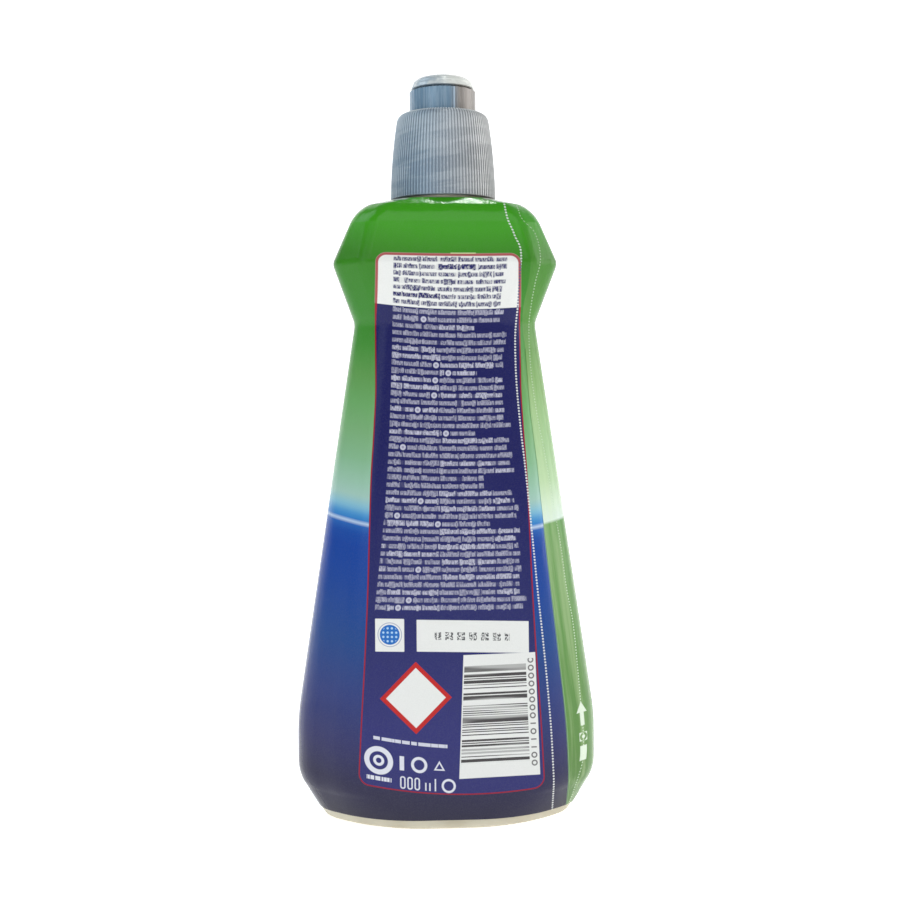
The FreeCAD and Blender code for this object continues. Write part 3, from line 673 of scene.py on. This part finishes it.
def cap_finish():
    """Silver-grey moulded plastic with pale flow bands that slant across the ribs, and painted
    light: a cool, darker left side, a warm, lighter right side, painted shade in the rib grooves
    and a painted highlight on the rim's top.
    """
    silver = Finish("cap_silver_grey", roughness=0.34, Metallic=0.1)
    x, y, z = silver.x, silver.y, silver.z
    shaded_cool, shaded_pale_cool = ink(134, 154, 171), ink(168, 183, 194)
    lit_warm, lit_pale_warm = ink(166, 168, 169), ink(190, 192, 192)
    groove_shade, speck, rim_highlight = ink(96, 106, 124), ink(204, 208, 212), ink(222, 226, 226)
    slant = z - x * 0.1
    flow = silver.noise(x * 0.05, y * 0.05, slant * 0.34, detail=3.0, roughness=0.55)
    band = silver.noise(x * 0.02, y * 0.04, slant * 0.16 + 3.0, detail=1.0)
    pale = silver.step(flow, 0.44, 0.6) * 0.6 + silver.step(band, 0.42, 0.58) * 0.4
    # Painted light: the left side is painted cool and darker, the right side warm and lighter.
    lit_side = silver.step(x, -9.0, 12.0)
    colour = silver.paint(shaded_cool, shaded_pale_cool, pale)
    colour = silver.paint(colour, silver.paint(lit_warm, lit_pale_warm, pale), lit_side)
    # The grooves between the ribs are painted darker as shade, and the ribs' tips are left paler,
    # up the skirt and round the rim.
    out = (x * x + y * y).root()
    rise = (z - SKIRT_FOOT_HEIGHT) * (1 / SKIRT_HEIGHT)
    skirt = SKIRT_FOOT_RADIUS - rise * SKIRT_TAPER + rise * (1.0 - rise) * SKIRT_BULGE
    over_skirt = out - skirt
    in_rim = out - RIM_MIDDLE[0]
    up_rim = z - RIM_MIDDLE[1]
    over_rim = (in_rim * in_rim + up_rim * up_rim).root() - RIM_ROUND
    over = over_skirt + (over_rim - over_skirt) * up_rim.above(RIM_START)
    tip = silver.step(over, *RIB_OUT)
    colour = silver.paint(silver.paint(colour, groove_shade, 0.3), colour, tip)
    mottle = silver.grain(2.2, 2.2, 1.1, detail=3.0)
    colour = silver.paint(colour, speck, silver.step(mottle, 0.5, 0.75) * tip * 0.25)
    # The rim's top is painted nearly white as a highlight.
    colour = silver.paint(colour, rim_highlight, silver.step(up_rim, *RIM_HIGHLIGHT) * 0.6)
    silver.colour(colour)
    silver.roughness(mottle * 0.16 + 0.3)
    silver.relief(mottle * 0.5 + flow * 0.5, depth=0.03)
    return silver


def nozzle_finish():
    """The same silver-grey, glossier on the head and drawn lengthwise on the sliding skirt, with
    painted light: reflections on the skirt, a head lighter on its right, shade in the groove and
    a highlight on the seam.
    """
    silver = Finish("nozzle_silver_grey", roughness=0.24, Metallic=0.15)
    x, y, z = silver.x, silver.y, silver.z
    drawn = silver.grain(1.3, 1.3, 0.08, detail=3.0)
    mottle = silver.grain(0.6, 0.6, 0.6, detail=2.0)
    streaks = silver.step(drawn, 0.35, 0.65)
    # The skirt is painted with a blue reflection on its left and a brown-grey reflection on its
    # right.
    skirt = silver.paint(ink(104, 134, 158), ink(128, 152, 172), streaks)
    skirt_warm_reflection = silver.paint(ink(126, 120, 116), ink(142, 138, 134), streaks)
    skirt = silver.paint(skirt, skirt_warm_reflection, silver.step(x, 1.0, 5.0))
    # The head is painted darker and cooler on the left and lighter on the right, as the windows
    # light it.
    head = silver.paint(ink(164, 178, 188), ink(214, 217, 212), silver.step(x, -5.0, 3.0))
    head = silver.paint(head, ink(228, 232, 228), silver.step(mottle, 0.45, 0.65) * 0.5)
    up = z - GROOVE_HEIGHT
    on_head = silver.step(up, 0.1, 0.5)
    colour = silver.paint(skirt, head, on_head)
    # The groove under the head is painted dark as shade.
    groove_shade = silver.cover(up.size() - GROOVE_HALF, 0.25)
    colour = silver.paint(colour, ink(84, 80, 72), groove_shade * 0.55)
    # The seam rib below the groove is painted pale blue as a highlight.
    out = (x * x + y * y).root()
    seam_highlight = silver.step(out, *SEAM_HIGHLIGHT_OUT) * silver.step(up * -1.0, *SEAM_HIGHLIGHT_DOWN)
    colour = silver.paint(colour, ink(176, 196, 214), seam_highlight * 0.8)
    silver.colour(colour)
    silver.roughness(drawn * 0.14 + 0.2 - on_head * 0.04)
    silver.relief(drawn * 0.6 + mottle * 0.4, depth=0.025)
    return silver


def liner_finish():
    """White foamed polyethylene with open cells."""
    foam = Finish("liner_foam", roughness=0.7)
    cells = foam.grain(3.0, 3.0, 3.0, detail=3.0, roughness=0.65)
    foam.colour(foam.paint(ink(224, 224, 218), ink(240, 240, 236), foam.step(cells, 0.35, 0.65)))
    foam.relief(cells, depth=0.08)
    return foam


def liquid_finish():
    """Clear blue rinse aid, with faint streaks of thickness."""
    liquid = Finish("rinse_aid_blue", roughness=0.06, Transmission_Weight=0.85, IOR=1.34)
    streak = liquid.grain(0.05, 0.05, 0.02, detail=2.0)
    pale = liquid.step(streak, 0.3, 0.7)
    liquid.colour(liquid.paint(ink(120, 178, 226), ink(150, 200, 236), pale))
    liquid.relief(streak, depth=0.02)
    return liquid


# ------------------------------------------------------------------ added pieces

def nothing_selected():
    if bpy.context.object and bpy.context.object.mode != "OBJECT":
        bpy.ops.object.mode_set(mode="OBJECT")
    bpy.ops.object.select_all(action="DESELECT")


def take_up(piece):
    """Make a piece the only one selected, and the active one."""
    nothing_selected()
    piece.select_set(True)
    bpy.context.view_layer.objects.active = piece


def select_faces(piece, wanted):
    """Select the faces whose middles satisfy a test, and nothing else, in edit mode."""
    bpy.ops.object.mode_set(mode="EDIT")
    bpy.ops.mesh.select_mode(type="FACE")
    bpy.ops.mesh.select_all(action="DESELECT")
    bpy.ops.object.mode_set(mode="OBJECT")
    for face in piece.data.polygons:
        face.select = wanted(face.center, face.normal)
    bpy.ops.object.mode_set(mode="EDIT")


def face_outwards():
    """Turn every face of the mesh in edit mode outwards, and leave edit mode."""
    bpy.ops.mesh.select_all(action="SELECT")
    bpy.ops.mesh.normals_make_consistent(inside=False)
    bpy.ops.object.mode_set(mode="OBJECT")


def put_on(piece, finish, body, crease):
    """Smooth a finished piece up to a crease in degrees, dress it, and fix it to its body."""
    bpy.ops.object.shade_smooth_by_angle(angle=math.radians(crease))
    wear(piece, finish)
    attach(piece, body)


def line_at(line, height):
    """Where one of the print's lines is at a height, in metres."""
    height = height / MM
    for (low, start), (high, end) in zip(line, line[1:]):
        if low <= height <= high:
            return (start + (end - start) * (height - low) / (high - low)) * MM
    return line[-1][1] * MM


def film_overlap(film):
    """The film's glued overlap: a second layer of film that runs up beside the overlap line."""
    width = 4.2 * MM
    glue, thickness = 0.02 * MM, 0.1 * MM
    stretches = [3.2, 10.0, 29.0, 52.0, 71.0, 89.0, 107.0, 122.0, 141.0]
    foot, top = stretches[0] * MM, stretches[-1] * MM
    overlap = nodes["sleeve"].copy()
    overlap.data = nodes["sleeve"].data.copy()
    overlap.name = "film_overlap"
    for key in [key for key in overlap.keys() if key.startswith("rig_")]:
        del overlap[key]
    overlap.parent = None
    bpy.context.scene.collection.objects.link(overlap)
    take_up(overlap)
    bpy.ops.object.mode_set(mode="EDIT")
    bpy.ops.mesh.select_mode(type="VERT")
    bpy.ops.mesh.select_all(action="SELECT")
    bpy.ops.mesh.remove_doubles(threshold=1e-6)

    def out_of_reach(middle, normal):
        outward = normal.x * 0.6 - normal.y * 0.8
        return middle.y >= -8 * MM or middle.x <= 15 * MM or outward <= 0.2

    select_faces(overlap, out_of_reach)
    bpy.ops.mesh.delete(type="FACE")
    for height in stretches:
        bpy.ops.mesh.select_all(action="SELECT")
        bpy.ops.mesh.bisect(plane_co=(0, 0, height * MM), plane_no=(0, 0, 1))
    for low, high in zip(stretches, stretches[1:]):
        low, high = low * MM, high * MM
        start, end = line_at(OVERLAP_LINE, low), line_at(OVERLAP_LINE, high)
        across = Vector((high - low, 0, start - end)).normalized()
        for side in (0, width):
            select_faces(overlap, lambda middle, normal: low < middle.z < high)
            bpy.ops.mesh.bisect(plane_co=(start + side, 0, low), plane_no=across)

    def off_band(middle, normal):
        start = line_at(OVERLAP_LINE, middle.z)
        in_band = start < middle.x < start + width
        return not (in_band and foot < middle.z < top)

    select_faces(overlap, off_band)
    bpy.ops.mesh.delete(type="FACE")
    bpy.ops.mesh.select_mode(type="VERT")
    bpy.ops.mesh.select_all(action="SELECT")
    bpy.ops.mesh.remove_doubles(threshold=2e-6)
    bpy.ops.transform.shrink_fatten(value=glue)
    bpy.ops.object.mode_set(mode="OBJECT")
    wall = overlap.modifiers.new("wall", "SOLIDIFY")
    wall.thickness = thickness
    wall.offset = 1.0
    bpy.ops.object.modifier_apply(modifier="wall")
    put_on(overlap, film, "bottle", crease=30)


def pinch_line(natural):
    """The ridge that the mould pinched across the raised middle of the base."""
    length, breadth, depth = 46 * MM, 1.4 * MM, 0.8 * MM
    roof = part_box("bottle")[0].z + 2.0 * MM
    nothing_selected()
    bpy.ops.mesh.primitive_cube_add(size=1, location=(0, 0, roof - 0.2 * MM))
    ridge = bpy.context.object
    ridge.name = "pinch_line"
    ridge.scale = (length, breadth, depth)
    bpy.ops.object.transform_apply(location=True, rotation=True, scale=True)
    bpy.ops.object.mode_set(mode="EDIT")
    bpy.ops.mesh.select_all(action="SELECT")
    bpy.ops.mesh.subdivide(number_cuts=3)
    select_faces(ridge, lambda middle, normal: normal.z < -0.9)
    bpy.ops.transform.resize(value=(0.97, 0.35, 1.0))
    for side in (-1, 1):
        select_faces(ridge, lambda middle, normal: normal.x * side > 0.9)
        bpy.ops.transform.resize(value=(1.0, 0.3, 1.0))
    face_outwards()
    rounding = ridge.modifiers.new("rounding", "BEVEL")
    rounding.width = 0.12 * MM
    rounding.segments = 3
    rounding.limit_method = "ANGLE"
    bpy.ops.object.modifier_apply(modifier="rounding")
    put_on(ridge, natural, "bottle", crease=40)


def nozzle_crown(silver):
    """The head's full, rounded shoulder, a ring that stands proud of the shallow dome."""
    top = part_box("nozzle")[1].z / MM
    middle, across, rise = 4.5, 4.6, 2.5
    shoulder = top - 2.55
    quarter = 12
    outline = [(8.6, shoulder - 0.4), (middle + across, shoulder)]
    for turn in range(1, quarter + 1):
        angle = math.radians(90 * turn / quarter)
        outline.append((middle + across * math.cos(angle), shoulder + rise * math.sin(angle)))
    outline += [(3.4, top + 0.02), (2.9, top - 0.02), (2.7, top - 0.5)]
    radius, height = outline[0]
    nothing_selected()
    bpy.ops.mesh.primitive_circle_add(vertices=96, radius=radius * MM,
                                      location=(0, 0, height * MM))
    crown = bpy.context.object
    crown.name = "nozzle_crown"
    bpy.ops.object.transform_apply(location=True, rotation=True, scale=True)
    bpy.ops.object.mode_set(mode="EDIT")
    bpy.ops.mesh.select_mode(type="EDGE")
    bpy.ops.mesh.select_all(action="SELECT")
    for (radius, height), (next_radius, next_height) in zip(outline, outline[1:]):
        lift = (next_height - height) * MM
        share = next_radius / radius
        bpy.ops.mesh.extrude_edges_move(TRANSFORM_OT_translate={"value": (0, 0, lift)})
        bpy.ops.transform.resize(value=(share, share, 1.0))
    bpy.ops.mesh.select_all(action="DESELECT")
    bpy.ops.mesh.select_non_manifold(extend=False)
    bpy.ops.mesh.bridge_edge_loops()
    face_outwards()
    put_on(crown, silver, "nozzle", crease=50)


# ------------------------------------------------------------------ stage, light and camera

WHITE = (1.0, 1.0, 1.0, 1.0)


def backdrop():
    """A pale floor that curves up into a wall behind the object."""
    size, near_by, wall_height, sweep = 6.0, 1.0, 3.0, 1.2
    far_edge = size / 2 - near_by - 0.1
    nothing_selected()
    bpy.ops.mesh.primitive_plane_add(size=size, location=(0, -near_by, 0))
    floor = bpy.context.object
    floor.name = "backdrop"
    bpy.ops.object.transform_apply(location=True, rotation=True, scale=True)
    bpy.ops.object.mode_set(mode="EDIT")
    bpy.ops.mesh.select_mode(type="EDGE")
    bpy.ops.mesh.select_all(action="DESELECT")
    bpy.ops.object.mode_set(mode="OBJECT")
    points = floor.data.vertices
    for edge in floor.data.edges:
        edge.select = all(points[index].co.y > far_edge for index in edge.vertices)
    bpy.ops.object.mode_set(mode="EDIT")
    bpy.ops.mesh.extrude_edges_move(TRANSFORM_OT_translate={"value": (0, 0, wall_height)})
    bpy.ops.object.mode_set(mode="OBJECT")
    for edge in floor.data.edges:
        ends = [points[index].co for index in edge.vertices]
        edge.select = all(end.y > far_edge and abs(end.z) < 0.01 for end in ends)
    bpy.ops.object.mode_set(mode="EDIT")
    bpy.ops.mesh.bevel(offset=sweep, segments=24, affect="EDGES")
    bpy.ops.object.mode_set(mode="OBJECT")
    bpy.ops.object.shade_smooth()
    pale = Finish("pale_floor", roughness=0.9, Emission_Strength=0.6)
    pale.shader.inputs["Emission Color"].default_value = WHITE
    speck = pale.grain(0.02, 0.02, 0.02)
    pale.colour(pale.paint(ink(250, 250, 250), ink(252, 252, 252), speck))
    wear(floor, pale)


BOTTLE_MIDDLE = (0, 0, 0.12)
# Each window: its name, place, size, power in watts, colour, and the point that it faces.
WINDOWS = [
    ("overhead_window", (0.083, -0.13, 1.1), (0.024, 0.1), 0.8, WHITE, (0.01, -0.016, 0.183)),
    ("right_window", (1.5, 0.2, 0.35), (0.9, 1.2), 8.0, (1.0, 0.98, 0.94), BOTTLE_MIDDLE),
    ("left_window", (-1.1, -1.3, 0.7), (1.0, 1.2), 4.0, (0.82, 0.93, 1.0), BOTTLE_MIDDLE),
    ("left_skylight", (-1.0, 0.1, 1.2), (0.8, 0.8), 4.0, (0.8, 0.92, 1.0), BOTTLE_MIDDLE),
    ("front_window", (0.2, -1.6, 1.4), (1.6, 0.8), 7.0, WHITE, BOTTLE_MIDDLE),
]
# The room dims to the left, on the near side and overhead. Each fall is an axis, where it starts
# and ends along that axis, and the share of the light that it leaves there.
ROOM_FALLS = [("X", -0.9, 0.6, 0.3, 1.0), ("Y", -0.9, 0.3, 0.5, 1.0), ("Z", 0.9, 0.3, 0.5, 1.0)]


def room_light():
    """A white room, as bright in each direction as its falls leave it."""
    world = bpy.data.worlds.new("studio")
    bpy.context.scene.world = world
    world.use_nodes = True
    tree = world.node_tree
    direction = tree.nodes.new("ShaderNodeTexCoord")
    split = tree.nodes.new("ShaderNodeSeparateXYZ")
    tree.links.new(direction.outputs["Generated"], split.inputs[0])
    shares = []
    for axis, *numbers in ROOM_FALLS:
        fall = tree.nodes.new("ShaderNodeMapRange")
        for socket, number in zip(("From Min", "From Max", "To Min", "To Max"), numbers):
            fall.inputs[socket].default_value = number
        tree.links.new(split.outputs[axis], fall.inputs["Value"])
        shares.append(fall.outputs[0])
    strength = shares[0]
    for share in shares[1:]:
        product = tree.nodes.new("ShaderNodeMath")
        product.operation = "MULTIPLY"
        tree.links.new(share, product.inputs[0])
        tree.links.new(strength, product.inputs[1])
        strength = product.outputs[0]
    background = tree.nodes["Background"]
    background.inputs["Color"].default_value = WHITE
    tree.links.new(strength, background.inputs["Strength"])


def studio_light():
    """The white room and its soft windows."""
    room_light()
    for name, place, size, power, colour, facing in WINDOWS:
        data = bpy.data.lights.new(name, "AREA")
        data.shape = "RECTANGLE"
        data.size, data.size_y = size
        data.energy = power
        data.color = colour[:3]
        window = bpy.data.objects.new(name, data)
        bpy.context.scene.collection.objects.link(window)
        window.location = place
        towards = Vector(facing) - Vector(place)
        window.rotation_euler = towards.to_track_quat("-Z", "Y").to_euler()
    bpy.context.scene.view_settings.view_transform = "Standard"


def camera():
    """A camera a little above the middle of the bottle, turned slightly off its back panel."""
    turned, dipped, rolled = -3.16, 1.084, -0.34
    distance, height = 0.399, 0.1317
    around = math.radians(turned)
    data = bpy.data.cameras.new("camera")
    data.lens = 51.86
    data.shift_x = 0.0063
    data.shift_y = -0.05
    eye = bpy.data.objects.new("camera", data)
    bpy.context.scene.collection.objects.link(eye)
    eye.location = (distance * math.sin(around), -distance * math.cos(around), height)
    heading = Matrix.Rotation(around, 4, "Z")
    pitch = Matrix.Rotation(math.radians(90 - dipped), 4, "X")
    roll = Matrix.Rotation(math.radians(rolled), 4, "Z")
    eye.rotation_euler = (heading @ pitch @ roll).to_euler()
    bpy.context.scene.camera = eye


camera()
backdrop()
studio_light()
film = sleeve_finish()
natural = bottle_finish()
silver = nozzle_finish()
wear(nodes["sleeve"], film)
wear(nodes["bottle"], natural)
wear(nodes["nozzle"], silver)
wear(nodes["cap"], cap_finish())
wear(nodes["liner"], liner_finish())
wear(nodes["rinse_aid"], liquid_finish())
film_overlap(film)
pinch_line(natural)
nozzle_crown(silver)
